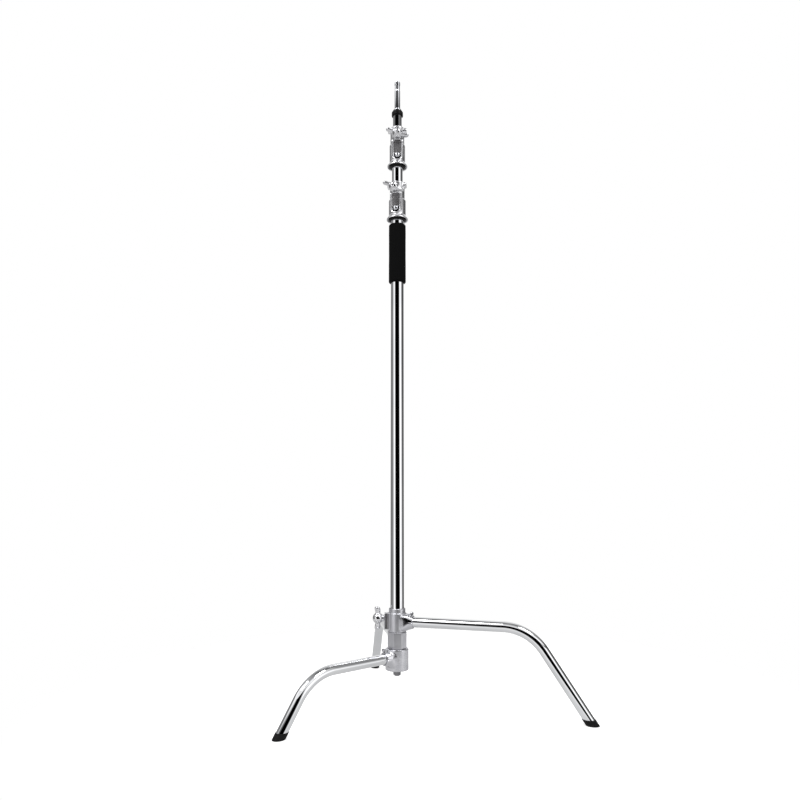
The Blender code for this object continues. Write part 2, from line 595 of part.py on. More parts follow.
def main():
    clear_scene()
    stand = anchor("stand")
    hubs = {prefix: leg_set(prefix, stand) for prefix in LEGS}
    clamp = anchor("high_clamp_axis", hubs["high"], turn=180.0 - LEGS["high"]["azimuth"])
    t_handle("high", clamp, LEGS["high"]["bore"] + 0.1 * MM, HIGH_BOSS_FACE, HIGH_SCREW_HEIGHT, HIGH_BAR_TILT,
             HIGH_BAR_HALF_LENGTH)
    high_bush(stand)
    for name, radius, bottom, top in (("column_tube", COLUMN_RADIUS, COLUMN_BOTTOM, COLUMN_TOP),
                                      ("riser_1_tube", RISER_1_RADIUS, RISER_1_BOTTOM, RISER_1_TOP),
                                      ("riser_2_tube", RISER_2_RADIUS, RISER_2_BOTTOM, RISER_2_TOP)):
        piece(name, straight_tube(radius, TUBE_WALL, bottom, top), "chrome", stand)
    glide_bush("riser_1_bush", RISER_1_RADIUS, RISER_1_BOTTOM, stand)
    glide_bush("riser_2_bush", RISER_2_RADIUS, RISER_2_BOTTOM, stand)
    for prefix in COLLARS:
        collar_set(prefix, stand)
    base_fasteners(stand)
    top_fittings(stand)
    foam_grip(stand)
    centre_on_footprint(stand)


main()
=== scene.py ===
import json
import math

import bmesh
import bpy
from mathutils import Matrix, Vector


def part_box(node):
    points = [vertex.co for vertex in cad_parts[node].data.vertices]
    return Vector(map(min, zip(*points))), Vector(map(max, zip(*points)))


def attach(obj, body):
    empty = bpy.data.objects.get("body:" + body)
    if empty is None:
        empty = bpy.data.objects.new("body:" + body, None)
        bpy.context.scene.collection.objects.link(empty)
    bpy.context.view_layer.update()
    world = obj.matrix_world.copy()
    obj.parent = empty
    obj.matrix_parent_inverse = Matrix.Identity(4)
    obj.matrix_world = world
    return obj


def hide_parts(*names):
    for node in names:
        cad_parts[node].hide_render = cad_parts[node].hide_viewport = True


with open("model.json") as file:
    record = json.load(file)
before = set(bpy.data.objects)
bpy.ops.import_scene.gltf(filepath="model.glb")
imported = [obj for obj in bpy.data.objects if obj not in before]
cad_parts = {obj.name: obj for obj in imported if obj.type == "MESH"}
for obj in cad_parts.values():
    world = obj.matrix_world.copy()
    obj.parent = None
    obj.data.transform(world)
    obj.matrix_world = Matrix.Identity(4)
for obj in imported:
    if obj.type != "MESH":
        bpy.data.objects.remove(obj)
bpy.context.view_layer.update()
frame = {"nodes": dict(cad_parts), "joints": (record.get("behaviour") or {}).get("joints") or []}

# A century stand: chrome tubes, cast hubs, collars and T-handles, rubber feet and a foam grip, each built round
# the column's axis, where the frame's joints put it. Lengths are metres, written as millimetres times MM.

MM = 0.001
JOINTS = {joint["name"]: joint for joint in frame["joints"]}
AXIS = Vector(JOINTS["riser_1_spin"]["pos_m"])
COLUMN = Matrix.Translation((AXIS.x, AXIS.y, 0))

# Sides of round pieces, from the tubes down to the holes and screws.
FINE = 96
MEDIUM = 64
SMALL = 48

# Castings are remeshed at this size, which rounds their edges like a mould's.
VOXEL = 0.6 * MM
HANDLE_VOXEL = 0.5 * MM
KEPT_SHARE = 0.45                # of a casting's faces, once it is relaxed

# The space between pieces that touch on the real stand.
GAP = 0.35 * MM

TUBE_WALL = 1.8 * MM
COLUMN_RADIUS = 17.5 * MM
RISER_1_RADIUS = 15.0 * MM
RISER_2_RADIUS = 12.5 * MM
LEG_RADIUS = 12.5 * MM
LEG_SLOPE = math.radians(56.4)
LEG_BEND_RADIUS = 115.0 * MM
SOCKET_START = 21.3 * MM
SOCKET_END = 43.0 * MM
BARREL_REACH = 24.5 * MM         # from the column's axis, where a casting's satin barrel ends
SOCKET_REACH = 33.0 * MM         # and where its socket is fully polished
SOLE_HEIGHT = 13.5 * MM

# The pinch lug on each socket, and the middle hub's flat faces.
LUG_MIDDLE = 35.75 * MM
LUG_HALF_LENGTH = 4.75 * MM
LUG_HALF_WIDTH = 8.0 * MM
LUG_BOLT_RISE = 18.8 * MM
MID_SIDES = 8
MID_FACE_AZIMUTH = -86.0

# The clamp screws, their T-handles and the pockets that their brake pads slide in.
SCREW_RADIUS = 4.8 * MM
BALL_RADIUS = 13.5 * MM
PAD_LENGTH = 3.5 * MM
PAD_POCKET_RADIUS = 7.4 * MM
HIGH_SCREW_HEIGHT = 216.5 * MM
HIGH_BOSS_FACE = 32.0 * MM
HIGH_PAD_FACE = 19.15 * MM
HIGH_TILT = 82.0
HIGH_HALF_LENGTH = 29.0 * MM
COLLAR_BOSS_FACE = 31.0 * MM
COLLAR_HALF_LENGTH = 32.0 * MM

# The collars' skirt, rails, ridge, recess, bolt pocket and ears. Drops are measured down from the screw, but the
# ears' from the collar's top.
SKIRT_WALL = 1.6 * MM
RAIL_RADIUS = 3.4 * MM
RAIL_SPREAD = 13.4 * MM
RIDGE_RADIUS = 2.4 * MM
RECESS_HALF_WIDTH = 10.2 * MM
RECESS_TOP_DROP = 8.0 * MM
RECESS_BOTTOM_DROP = 42.5 * MM
BOLT_DROP = 50.0 * MM
POCKET_RADIUS = 10.2 * MM
POCKET_DEPTH = 3.4 * MM
EAR_RADIUS = 8.5 * MM
EAR_REACH = 26.0 * MM
EAR_FORWARD = 4.0 * MM
EAR_DROP = 10.0 * MM

GRIP_RADIUS = 23.2 * MM
GRIP_EDGE = 4.0 * MM

# Each leg's azimuth from +X, the height of its socket, how far its foot stands from the column, and its hub.
LEGS = {
    "low": dict(body="base", azimuth=-139.4, height=122.7 * MM, foot=336.0 * MM,
                bottom=92.5 * MM, top=143.7 * MM, radius=29.0 * MM, bore=17.85 * MM),
    "mid": dict(body="mid_leg_body", azimuth=99.6, height=165.6 * MM, foot=419.0 * MM,
                bottom=144.2 * MM, top=184.0 * MM, radius=23.5 * MM, bore=17.85 * MM),
    "high": dict(body="high_leg_body", azimuth=-16.0, height=208.4 * MM, foot=468.0 * MM,
                 bottom=184.5 * MM, top=230.0 * MM, radius=23.4 * MM, bore=19.05 * MM),
}

# Each collar's heights: rim, skirt, step, top and screw. Then its turn and its handle's tilt in degrees, and its
# radii: of the tube that it is held on, of the tube that it clamps, and of its own body, neck and flared skirt.
# These lengths are plain millimetres.
COLLARS = {
    "lower": dict(owner="base", rim=1276.0, skirt=1287.5, step=1334.0, top=1384.5, screw=1353.0,
                  turn=-11.6, tilt=-24.5, held=17.5, clamped=15.0, body=23.5, neck=20.5, flare=29.5),
    "upper": dict(owner="riser_1", rim=1432.0, skirt=1443.5, step=1497.0, top=1549.0, screw=1509.0,
                  turn=0.0, tilt=-17.0, held=15.0, clamped=12.5, body=21.75, neck=19.5, flare=28.0),
}

# How the names of cast pieces end. Their shading is already smooth.
CAST_NAMES = ("_hub", "_tee", "_collar_casting")


# Materials ----------------------------------------------------------------------------------------
class Nodes:
    """A short way to write a node tree: each call adds a node, sets its values and links its inputs."""

    def __init__(self, name):
        self.material = bpy.data.materials.new(name)
        self.material.use_nodes = True
        self.tree = self.material.node_tree
        self.shader = self.tree.nodes["Principled BSDF"]

    def add(self, kind, settings=None, **inputs):
        node = self.tree.nodes.new(kind)
        for key, value in (settings or {}).items():
            setattr(node, key, value)
        for key, value in inputs.items():
            self.feed(node.inputs[key.replace("_", " ")], value)
        return node

    def feed(self, socket, value):
        if isinstance(value, bpy.types.NodeSocket):
            self.tree.links.new(value, socket)
        else:
            socket.default_value = value

    def ramp(self, factor, stops):
        node = self.add("ShaderNodeValToRGB", Fac=factor)
        elements = node.color_ramp.elements
        elements[0].position, elements[0].color = stops[0][0], (*stops[0][1], 1.0)
        elements[1].position, elements[1].color = stops[-1][0], (*stops[-1][1], 1.0)
        for place, colour in stops[1:-1]:
            elements.new(place).color = (*colour, 1.0)
        return node.outputs["Color"]

    def span(self, factor, low, high):
        node = self.add("ShaderNodeMapRange", Value=factor)
        node.inputs["To Min"].default_value = low
        node.inputs["To Max"].default_value = high
        return node.outputs["Result"]

    def noise(self, scale, detail=3.0, stretch=(1, 1, 1)):
        place = self.add("ShaderNodeTexCoord").outputs["Object"]
        mapping = self.add("ShaderNodeMapping", Vector=place, Scale=stretch)
        node = self.add("ShaderNodeTexNoise", Vector=mapping.outputs["Vector"], Scale=scale, Detail=detail)
        return node.outputs["Fac"]

    def bump(self, height, strength, distance):
        node = self.add("ShaderNodeBump", Strength=strength, Distance=distance, Height=height)
        self.feed(self.shader.inputs["Normal"], node.outputs["Normal"])

    def mix(self, factor, first, second):
        node = self.add("ShaderNodeMixShader")
        for socket, value in zip(node.inputs, (factor, first, second)):
            self.feed(socket, value)
        return node.outputs[0]

    def set(self, **inputs):
        for key, value in inputs.items():
            self.feed(self.shader.inputs[key.replace("_", " ")], value)


def chrome():
    """Bright plate with faint wipe marks and a little uneven gloss."""
    n = Nodes("chrome")
    tint = n.ramp(n.noise(14.0), [(0.35, (0.80, 0.81, 0.83)), (0.70, (0.88, 0.885, 0.90))])
    gloss = n.span(n.noise(60.0, 4.0, (1, 1, 0.15)), 0.015, 0.05)
    n.set(Base_Color=tint, Roughness=gloss, Metallic=1.0)
    n.bump(n.noise(900.0, 2.0, (1, 1, 0.05)), 0.05, 0.02 * MM)
    return n.material


def casting(name, dark, light, rough_low, rough_high, grain, burnish=False):
    """Cast alloy under a silver finish: fine grain, and soft stains where the mould and the hand leave them.

    A burnished casting is satin at its barrel and grows glossy along its socket, away from the column.
    """
    n = Nodes(name)
    tint = n.ramp(n.noise(55.0, 5.0), [(0.30, dark), (0.72, light)])
    gloss = n.span(n.noise(240.0, 4.0), rough_low, rough_high)
    if burnish:
        place = n.add("ShaderNodeTexCoord").outputs["Object"]
        flat = n.add("ShaderNodeMapping", Vector=place, Location=(-AXIS.x, -AXIS.y, 0), Scale=(1, 1, 0))
        reach = n.add("ShaderNodeVectorMath", {"operation": "LENGTH"})
        n.feed(reach.inputs[0], flat.outputs["Vector"])
        share = n.ramp(reach.outputs["Value"], [(BARREL_REACH, (1.0,) * 3), (SOCKET_REACH, (0.30,) * 3)])
        polish = n.add("ShaderNodeMath", {"operation": "MULTIPLY"})
        n.feed(polish.inputs[0], gloss)
        n.feed(polish.inputs[1], share)
        gloss = polish.outputs[0]
    n.set(Base_Color=tint, Roughness=gloss, Metallic=1.0)
    n.bump(n.noise(1500.0, 3.0), grain, 0.10 * MM)
    return n.material


def steel():
    """Bright zinc plate with a slightly uneven gloss."""
    n = Nodes("steel")
    tint = n.ramp(n.noise(180.0, 4.0), [(0.3, (0.60, 0.61, 0.64)), (0.7, (0.74, 0.75, 0.78))])
    n.set(Base_Color=tint, Roughness=n.span(n.noise(500.0), 0.03, 0.08), Metallic=1.0)
    n.bump(n.noise(2500.0, 2.0), 0.08, 0.03 * MM)
    return n.material


def black_plastic():
    """Moulded black plastic with a fine, even texture. The collars' bolt pockets get it as painted shade."""
    n = Nodes("black_plastic")
    tint = n.ramp(n.noise(300.0), [(0.3, (0.002, 0.002, 0.0022)), (0.8, (0.006, 0.006, 0.0063))])
    n.set(Base_Color=tint, Roughness=n.span(n.noise(700.0), 0.30, 0.46), Specular_IOR_Level=0.12)
    n.bump(n.noise(2200.0, 3.0), 0.25, 0.05 * MM)
    return n.material


def pad_plastic():
    """The brake pads' dark grey plastic."""
    n = Nodes("pad_plastic")
    n.set(Base_Color=n.ramp(n.noise(300.0), [(0.3, (0.07, 0.07, 0.08)), (0.8, (0.13, 0.13, 0.14))]),
          Roughness=n.span(n.noise(700.0), 0.5, 0.7))
    n.bump(n.noise(2200.0, 3.0), 0.25, 0.05 * MM)
    return n.material


def rubber():
    """Moulded rubber, a little dusty and scuffed near the floor."""
    n = Nodes("rubber")
    tint = n.ramp(n.noise(170.0, 5.0), [(0.35, (0.002, 0.002, 0.002)), (0.85, (0.012, 0.0115, 0.011))])
    n.set(Base_Color=tint, Roughness=n.span(n.noise(420.0, 4.0), 0.55, 0.80), Specular_IOR_Level=0.2)
    n.bump(n.noise(1600.0, 4.0), 0.35, 0.08 * MM)
    return n.material


def foam():
    """Closed-cell foam: a matt black skin with fine open pores."""
    n = Nodes("foam")
    place = n.add("ShaderNodeTexCoord").outputs["Object"]
    cells = n.add("ShaderNodeTexVoronoi", Vector=place, Scale=900.0).outputs["Distance"]
    tint = n.ramp(cells, [(0.05, (0.0008, 0.0008, 0.0008)), (0.55, (0.004, 0.004, 0.0042))])
    n.set(Base_Color=tint, Roughness=n.span(n.noise(300.0, 4.0), 0.78, 0.95), Specular_IOR_Level=0.08)
    n.bump(cells, 0.35, 0.25 * MM)
    return n.material


# Cast finishes: dark and light tint, lowest and highest roughness, the grain's strength, and whether burnished.
CAST_FINISHES = {
    "cast_alloy": ((0.60, 0.60, 0.635), (0.70, 0.70, 0.73), 0.30, 0.46, 0.35, True),
    "polished_casting": ((0.66, 0.66, 0.68), (0.78, 0.78, 0.80), 0.07, 0.17, 0.06),
    "tumbled_casting": ((0.72, 0.72, 0.74), (0.84, 0.84, 0.86), 0.17, 0.30, 0.10),
    # The next finish's dark tint is painted shade, put in the high hub's grooves and the collars' recesses.
    "painted_shade_casting": ((0.24, 0.235, 0.24), (0.36, 0.35, 0.36), 0.42, 0.58, 0.6),
    "dark_steel": ((0.16, 0.16, 0.17), (0.30, 0.30, 0.31), 0.12, 0.25, 0.10),
}


def make_finishes():
    finishes = {name: casting(name, *values) for name, values in CAST_FINISHES.items()}
    for make in (chrome, steel, black_plastic, pad_plastic, rubber, foam):
        finishes[make.__name__] = make()
    return finishes


# Shapes -------------------------------------------------------------------------------------------
def loft(rings, closed=False):
    """Joins rings of equal length into one skin, with a cap at each end or closed from the last to the first."""
    shape = bmesh.new()
    rows = [[shape.verts.new(point) for point in ring] for ring in rings]
    pairs = list(zip(rows, rows[1:]))
    if closed:
        pairs.append((rows[-1], rows[0]))
    for lower, upper in pairs:
        for i in range(len(lower)):
            j = (i + 1) % len(lower)
            shape.faces.new((lower[i], lower[j], upper[j], upper[i]))
    if not closed:
        shape.faces.new(rows[0])
        shape.faces.new(rows[-1])
    return shape


def round_turn(sides):
    """Even angles round a full turn."""
    return [2 * math.pi * i / sides for i in range(sides)]


def circle(radius, height, sides):
    return [Vector((radius * math.cos(t), radius * math.sin(t), height)) for t in round_turn(sides)]


def turned(profile, sides=MEDIUM):
    """A solid turned about Z, from (radius, height) points that run between its two end faces."""
    return loft([circle(radius, height, sides) for radius, height in profile])


def turned_ring(profile, sides=FINE):
    """A ring turned about Z, from a closed outline of (radius, height) points."""
    return loft([circle(radius, height, sides) for radius, height in profile], closed=True)


def rounded(profile, radius, steps=4, closed=False):
    """Rounds the corners of an outline with arcs of up to this radius."""
    points = [Vector(point) for point in profile]
    count = len(points)
    result = []
    for i, corner in enumerate(points):
        if not closed and i in (0, count - 1):
            result.append(tuple(corner))
            continue
        before, after = points[i - 1], points[(i + 1) % count]
        back, ahead = before - corner, after - corner
        reach = min(radius, back.length * 0.45, ahead.length * 0.45)
        start = corner + back.normalized() * reach
        end = corner + ahead.normalized() * reach
        for step in range(steps + 1):
            t = step / steps
            result.append(tuple((1 - t) ** 2 * start + 2 * t * (1 - t) * corner + t * t * end))
    return result


def box(low, high):
    size = Vector(high) - Vector(low)
    centre = (Vector(high) + Vector(low)) / 2
    shape = bmesh.new()
    bmesh.ops.create_cube(shape, size=1.0)
    bmesh.ops.scale(shape, vec=size, verts=shape.verts)
    bmesh.ops.translate(shape, vec=centre, verts=shape.verts)
    return shape


def placed(shape, matrix):
    bmesh.ops.transform(shape, matrix=matrix, verts=shape.verts)
    return shape


def along(direction, place=(0, 0, 0)):
    """The matrix that lays a shape made about Z along a direction, starting at a place."""
    turn = Vector(direction).to_track_quat("Z", "Y").to_matrix().to_4x4()
    return Matrix.Translation(place) @ turn


def spun(degrees):
    return Matrix.Rotation(math.radians(degrees), 4, "Z")


def to_object(name, shape, smooth_angle=32):
    bmesh.ops.recalc_face_normals(shape, faces=shape.faces)
    mesh = bpy.data.meshes.new(name)
    shape.to_mesh(mesh)
    shape.free()
    mesh.shade_smooth()
    mesh.set_sharp_from_angle(angle=math.radians(smooth_angle))
    made = bpy.data.objects.new(name, mesh)
    bpy.context.collection.objects.link(made)
    return made


def bake(obj):
    """Applies an object's modifiers to its mesh."""
    graph = bpy.context.evaluated_depsgraph_get()
    result = bpy.data.meshes.new_from_object(obj.evaluated_get(graph))
    obj.modifiers.clear()
    obj.data = result


def combine(target, shape, operation):
    """Cuts a shape out of an object, or joins it on."""
    tool = to_object("tool", shape)
    step = target.modifiers.new("cut", "BOOLEAN")
    step.object = tool
    step.operation = operation
    step.solver = "EXACT"
    bake(target)
    bpy.data.objects.remove(tool)


def drill(target, radius, near, far, lay=Matrix(), sides=SMALL):
    """Bores a round hole, turned a little so that none of its edges falls on an edge of the target."""
    combine(target, placed(turned([(radius, near), (radius, far)], sides), lay @ spun(1.7)), "DIFFERENCE")


def as_cast(obj, voxel=VOXEL, passes=7):
    """Remeshes a built-up shape and relaxes it, so that its edges and corners are rounded as in a casting."""
    remesh = obj.modifiers.new("remesh", "REMESH")
    remesh.mode = "VOXEL"
    remesh.voxel_size = voxel
    relax = obj.modifiers.new("relax", "SMOOTH")
    relax.factor = 0.5
    relax.iterations = passes
    thin = obj.modifiers.new("thin", "DECIMATE")
    thin.ratio = KEPT_SHARE
    bake(obj)
    obj.data.shade_smooth()
    return obj


def weigh_normals(obj):
    """Keeps large faces flat or straight where they meet a small rounded edge."""
    weigh = obj.modifiers.new("weigh", "WEIGHTED_NORMAL")
    weigh.keep_sharp = True
    bake(obj)


def finish_piece(obj, node, body, finish, where=Matrix()):
    """Puts a built piece in the frame: its place, finish and body, and the CAD node that it stands for.

    A piece that already has several finishes keeps them, and then finish is not used.
    """
    obj.data.transform(COLUMN @ where)
    if not obj.name.endswith(CAST_NAMES):
        weigh_normals(obj)
    if len(obj.data.materials) < 2:
        obj.data.materials.clear()
        obj.data.materials.append(FINISHES[finish])
    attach(obj, body)
    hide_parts(node)


# Legs ---------------------------------------------------------------------------------------------
# Every leg is built pointing along +X from the column's axis, then turned to its azimuth.
def leg_ring(point, angle, radius, sides):
    """A ring square to a leg that has turned down by this angle."""
    up = Vector((math.sin(angle), 0, math.cos(angle)))
    return [point + radius * (math.cos(t) * up + math.sin(t) * Vector((0, 1, 0))) for t in round_turn(sides)]


def sole_ring(leg, radius, height, sides):
    """A level ring across a leg's slope, as its foot is cut."""
    centre = Vector((leg["foot"] - height / math.tan(LEG_SLOPE), 0, height))
    stretch = radius / math.sin(LEG_SLOPE)
    return [centre + Vector((stretch * math.cos(t), radius * math.sin(t), 0)) for t in round_turn(sides)]


def leg_tube(leg, sides=MEDIUM, bend_steps=28):
    """A bent tube from its socket, round the bend and down to the cut that lies level with the floor."""
    knee = leg["foot"] - leg["height"] / math.tan(LEG_SLOPE)
    run_in = LEG_BEND_RADIUS * math.tan(LEG_SLOPE / 2)
    bend_centre = Vector((knee - run_in, 0, leg["height"] - LEG_BEND_RADIUS))
    stations = [(Vector((SOCKET_START, 0, leg["height"])), 0.0)]
    for i in range(bend_steps + 1):
        angle = LEG_SLOPE * i / bend_steps
        outward = Vector((math.sin(angle), 0, math.cos(angle)))
        stations.append((bend_centre + LEG_BEND_RADIUS * outward, angle))
    skins = []
    for radius in (LEG_RADIUS, LEG_RADIUS - TUBE_WALL):
        rings = [leg_ring(point, angle, radius, sides) for point, angle in stations]
        skins.append(rings + [sole_ring(leg, radius, SOLE_HEIGHT + GAP, sides)])
    outer, inner = skins
    return loft(outer + inner[::-1], closed=True)


def foot(leg, sides=MEDIUM):
    """The rubber foot: a skirt with a rolled edge and a shallow groove, and its plug inside the tube."""
    skirt = LEG_RADIUS + 0.8 * MM
    plug = LEG_RADIUS - TUBE_WALL - GAP
    profile = rounded([(0.5 * skirt, 0.0), (skirt, 0.0), (skirt, 4.6 * MM), (skirt - 0.5 * MM, 5.0 * MM),
                       (skirt - 0.5 * MM, 6.0 * MM), (skirt, 6.4 * MM), (skirt, SOLE_HEIGHT),
                       (LEG_RADIUS - 0.2 * MM, SOLE_HEIGHT), (plug, SOLE_HEIGHT),
                       (plug, SOLE_HEIGHT + 22 * MM)], 1.2 * MM)
    return loft([sole_ring(leg, radius, height, sides) for radius, height in profile])


def socket_section(distance, half_height, half_width, centre, squareness, sides=72):
    """A section across the socket: an ellipse at squareness 2, and nearer a rectangle as that grows."""
    ring = []
    power = 2.0 / squareness
    for t in round_turn(sides):
        y = half_width * math.copysign(abs(math.sin(t)) ** power, math.sin(t))
        z = half_height * math.copysign(abs(math.cos(t)) ** power, math.cos(t))
        ring.append(Vector((distance, y, centre + z)))
    return ring


def diamond(distance, across, height, depth, rise):
    """A four-sided section of the tool that cuts a crease."""
    return [Vector((distance, across + depth, height)), Vector((distance, across, height + rise)),
            Vector((distance, across - depth, height)), Vector((distance, across, height - rise))]


def hub_barrel(prefix, leg):
    """The barrel round the column: round, but with flat faces on the middle hub."""
    low, top, radius = leg["bottom"], leg["top"], leg["radius"]
    sides, twist = FINE, 0.0
    if prefix == "mid":
        sides, twist = MID_SIDES, MID_FACE_AZIMUTH - leg["azimuth"] + 180.0 / MID_SIDES
        radius /= math.cos(math.pi / MID_SIDES)
    edge = 1.0 * MM
    profile = [(radius - edge, low), (radius, low + edge), (radius, top - edge), (radius - edge, top)]
    return placed(turned(profile, sides), spun(twist))


def socket_funnel(leg, end):
    """The socket: as tall as the hub where it leaves it, and round where it lets the leg out."""
    height, radius = leg["height"], leg["radius"]
    half = (leg["top"] - leg["bottom"]) / 2 - 1.5 * MM
    middle = (leg["top"] + leg["bottom"]) / 2
    return loft([
        socket_section(8 * MM, half, radius - 2 * MM, middle, 5.0),
        socket_section(22 * MM, half - 1 * MM, 20.5 * MM, middle, 4.0),
        socket_section(28 * MM, end + 3.0 * MM, 18.6 * MM, (middle + height) / 2, 3.0),
        socket_section(33 * MM, end + 1.5 * MM, 18.0 * MM, height, 2.4),
        socket_section(SOCKET_END - 3 * MM, end, end, height, 2.0),
        socket_section(SOCKET_END, end - 1 * MM, end - 1 * MM, height, 2.0)])


def add_screw_boss(body, top, turn):
    """The high hub's collar, and the flanged boss for its clamp screw with a groove behind each flange."""
    combine(body, turned([(20.8 * MM, top - 6 * MM), (20.8 * MM, 241.0 * MM)], FINE), "UNION")
    boss = box((10 * MM, -13 * MM, 190.5 * MM), (HIGH_BOSS_FACE, 13 * MM, 229.5 * MM))
    combine(body, placed(boss, turn), "UNION")
    for side in (-1, 1):
        groove = box((24.5 * MM, side * 13 * MM - 4.0 * MM, 189 * MM),
                     (29.5 * MM, side * 13 * MM + 4.0 * MM, 231 * MM))
        combine(body, placed(groove, turn), "DIFFERENCE")
    lay = turn @ along((1, 0, 0), (0, 0, HIGH_SCREW_HEIGHT))
    drill(body, PAD_POCKET_RADIUS, 10 * MM, 25.6 * MM, lay)
    drill(body, SCREW_RADIUS + GAP, 20 * MM, 40 * MM, lay)


def leg_casting(prefix, leg):
    """The hub: barrel, funnel socket with a crease along each side, split pinch lug and bores."""
    height, low = leg["height"], leg["bottom"]
    body = to_object(f"{prefix}_hub", hub_barrel(prefix, leg))
    end = LEG_RADIUS + 4.3 * MM
    combine(body, socket_funnel(leg, end), "UNION")
    lug_top = height + LUG_BOLT_RISE + 4.2 * MM
    lug_start, lug_end = LUG_MIDDLE - LUG_HALF_LENGTH, LUG_MIDDLE + LUG_HALF_LENGTH
    lug = box((lug_start, -LUG_HALF_WIDTH, height + 10 * MM), (lug_end, LUG_HALF_WIDTH, lug_top))
    combine(body, lug, "UNION")
    turn = spun(180.0 - leg["azimuth"])
    if prefix == "high":
        add_screw_boss(body, leg["top"], turn)
    for side in (-1, 1):
        crease = loft([diamond(23 * MM, side * 21.5 * MM, height, 0.6 * MM, 0.6 * MM),
                       diamond(SOCKET_END + 1 * MM, side * (end + 1.2 * MM), height, 4.4 * MM, 3.4 * MM)])
        combine(body, crease, "DIFFERENCE")
    bore_bottom = 96.15 * MM if prefix == "low" else low - 5 * MM
    drill(body, leg["bore"], bore_bottom, 0.3, sides=FINE)
    if prefix == "low":
        drill(body, 5.4 * MM, 0.05, 0.12)
    socket_floor = along((1, 0, 0), (SOCKET_START - GAP, 0, height))
    drill(body, LEG_RADIUS + GAP, 0.0, 40 * MM, socket_floor, sides=MEDIUM)
    across = along((0, 1, 0), (LUG_MIDDLE, 0, height + LUG_BOLT_RISE))
    drill(body, 2.9 * MM, -20 * MM, 20 * MM, across)
    drill(body, 5.2 * MM, -20 * MM, -LUG_HALF_WIDTH, across)
    drill(body, 5.2 * MM, LUG_HALF_WIDTH, 20 * MM, across)
    slot_end = (SOCKET_END + 2 * MM, 0.9 * MM, lug_top + 1 * MM)
    combine(body, box((lug_start - 4 * MM, -0.9 * MM, height + 8 * MM), slot_end), "DIFFERENCE")
    body = as_cast(body)
    if prefix == "high":
        # Painted shade in the grooves behind the screw boss's flange.
        shade_grooves(body, turn)
    return body


def shade_grooves(body, turn):
    """Paints shade into the grooves behind the screw boss's flange: their faces get a darker finish than the
    rest.
    """
    body.data.materials.append(FINISHES["cast_alloy"])
    body.data.materials.append(FINISHES["painted_shade_casting"])
    back = turn.inverted()
    for face in body.data.polygons:
        x, y, _ = back @ face.center
        if 24.9 * MM < x < 29.1 * MM and 8.0 * MM < abs(y) < 12.4 * MM:
            face.material_index = 1


def pinch_bolt():
    """A cap screw with a domed head and a hexagon recess, along +Z."""
    head = LUG_HALF_WIDTH + GAP
    profile = [(2.2 * MM, -13.0 * MM), (2.5 * MM, -12.6 * MM), (2.5 * MM, head), (4.3 * MM, head)]
    dome = rounded([(4.3 * MM, head), (4.3 * MM, head + 4.4 * MM), (1.4 * MM, head + 4.4 * MM)], 1.4 * MM)
    bolt = to_object("bolt", turned(profile + dome[1:], SMALL))
    hexagon = turned([(1.9 * MM, head + 2.0 * MM), (1.9 * MM, head + 6.0 * MM)], 6)
    combine(bolt, hexagon, "DIFFERENCE")
    return bolt


def hex_nut(outer, inner, low, high):
    """A hexagon nut whose corners are turned off, with a plain bore."""
    nut = to_object("nut", turned([(outer, low), (outer, high)], 6))
    chamfer = 0.45 * MM
    drum = turned([(outer - 2 * chamfer, low - 0.01 * MM), (outer, low + chamfer), (outer, high - chamfer),
                   (outer - 2 * chamfer, high + 0.01 * MM)], SMALL)
    combine(nut, drum, "INTERSECT")
    drill(nut, inner, low - 2 * MM, high + 2 * MM)
    return nut


def leg_pieces(prefix, leg):
    turn = spun(leg["azimuth"])
    body = leg["body"]
    finish_piece(leg_casting(prefix, leg), f"{prefix}_casting", body, "cast_alloy", turn)
    finish_piece(to_object(f"{prefix}_tube", leg_tube(leg)), f"{prefix}_leg", body, "chrome", turn)
    finish_piece(to_object(f"{prefix}_rubber_foot", foot(leg)), f"{prefix}_foot", body, "rubber", turn)
    lug = (LUG_MIDDLE, 0, leg["height"] + LUG_BOLT_RISE)
    bolt = pinch_bolt()
    bolt.name = f"{prefix}_pinch_bolt"
    finish_piece(bolt, f"{prefix}_clamp_bolt", body, "steel", turn @ along((0, -1, 0), lug))
    nut = hex_nut(4.7 * MM, 2.8 * MM, LUG_HALF_WIDTH + GAP, LUG_HALF_WIDTH + GAP + 4 * MM)
    nut.name = f"{prefix}_pinch_nut"
    finish_piece(nut, f"{prefix}_clamp_nut", body, "steel", turn @ along((0, 1, 0), lug))


# T-handles ----------------------------------------------------------------------------------------
def handle_bar(half_length, lean, sides=40):
    """The bar along Y: round at the hub, with paddle-shaped wings that curl away from the stand.

    The wings are cranked: steeper by the hub and flatter at their tips. A station along a wing gives its share
    of the half length, then half its height and half its depth in mm.
    """
    wing = ((1.0, 1.6, 2.4), (0.985, 2.6, 3.8), (0.95, 3.9, 5.5), (0.88, 5.0, 6.8), (0.78, 5.4, 7.2),
            (0.65, 5.5, 7.0), (0.5, 5.5, 6.5), (0.35, 5.7, 6.2), (0.18, 6.1, 6.3))
    stations = [(-share, tall, deep) for share, tall, deep in wing] + [(0.0, 6.6, 6.6)] + list(wing[::-1])
    rings = []
    for share, tall, deep in stations:
        curl = 2.5 * MM * abs(share) ** 3
        crank = math.copysign(1.8 * MM, lean) * math.sin(math.pi * share)
        rings.append([Vector((curl + deep * MM * math.sin(t), share * half_length,
                              crank + tall * MM * math.cos(t))) for t in round_turn(sides)])
    return loft(rings)


def threaded_profile(start, end, pitch=1.5 * MM, depth=0.55 * MM):
    """A screw's outline with its thread drawn as rings."""
    lead = 1.2 * MM
    profile = [(3.4 * MM, start), (SCREW_RADIUS - depth, start + lead)]
    place = start + lead
    while place + pitch < end:
        profile += [(SCREW_RADIUS, place + 0.45 * pitch), (SCREW_RADIUS, place + 0.55 * pitch),
                    (SCREW_RADIUS - depth, place + pitch)]
        place += pitch
    return profile + [(SCREW_RADIUS - depth, end)]


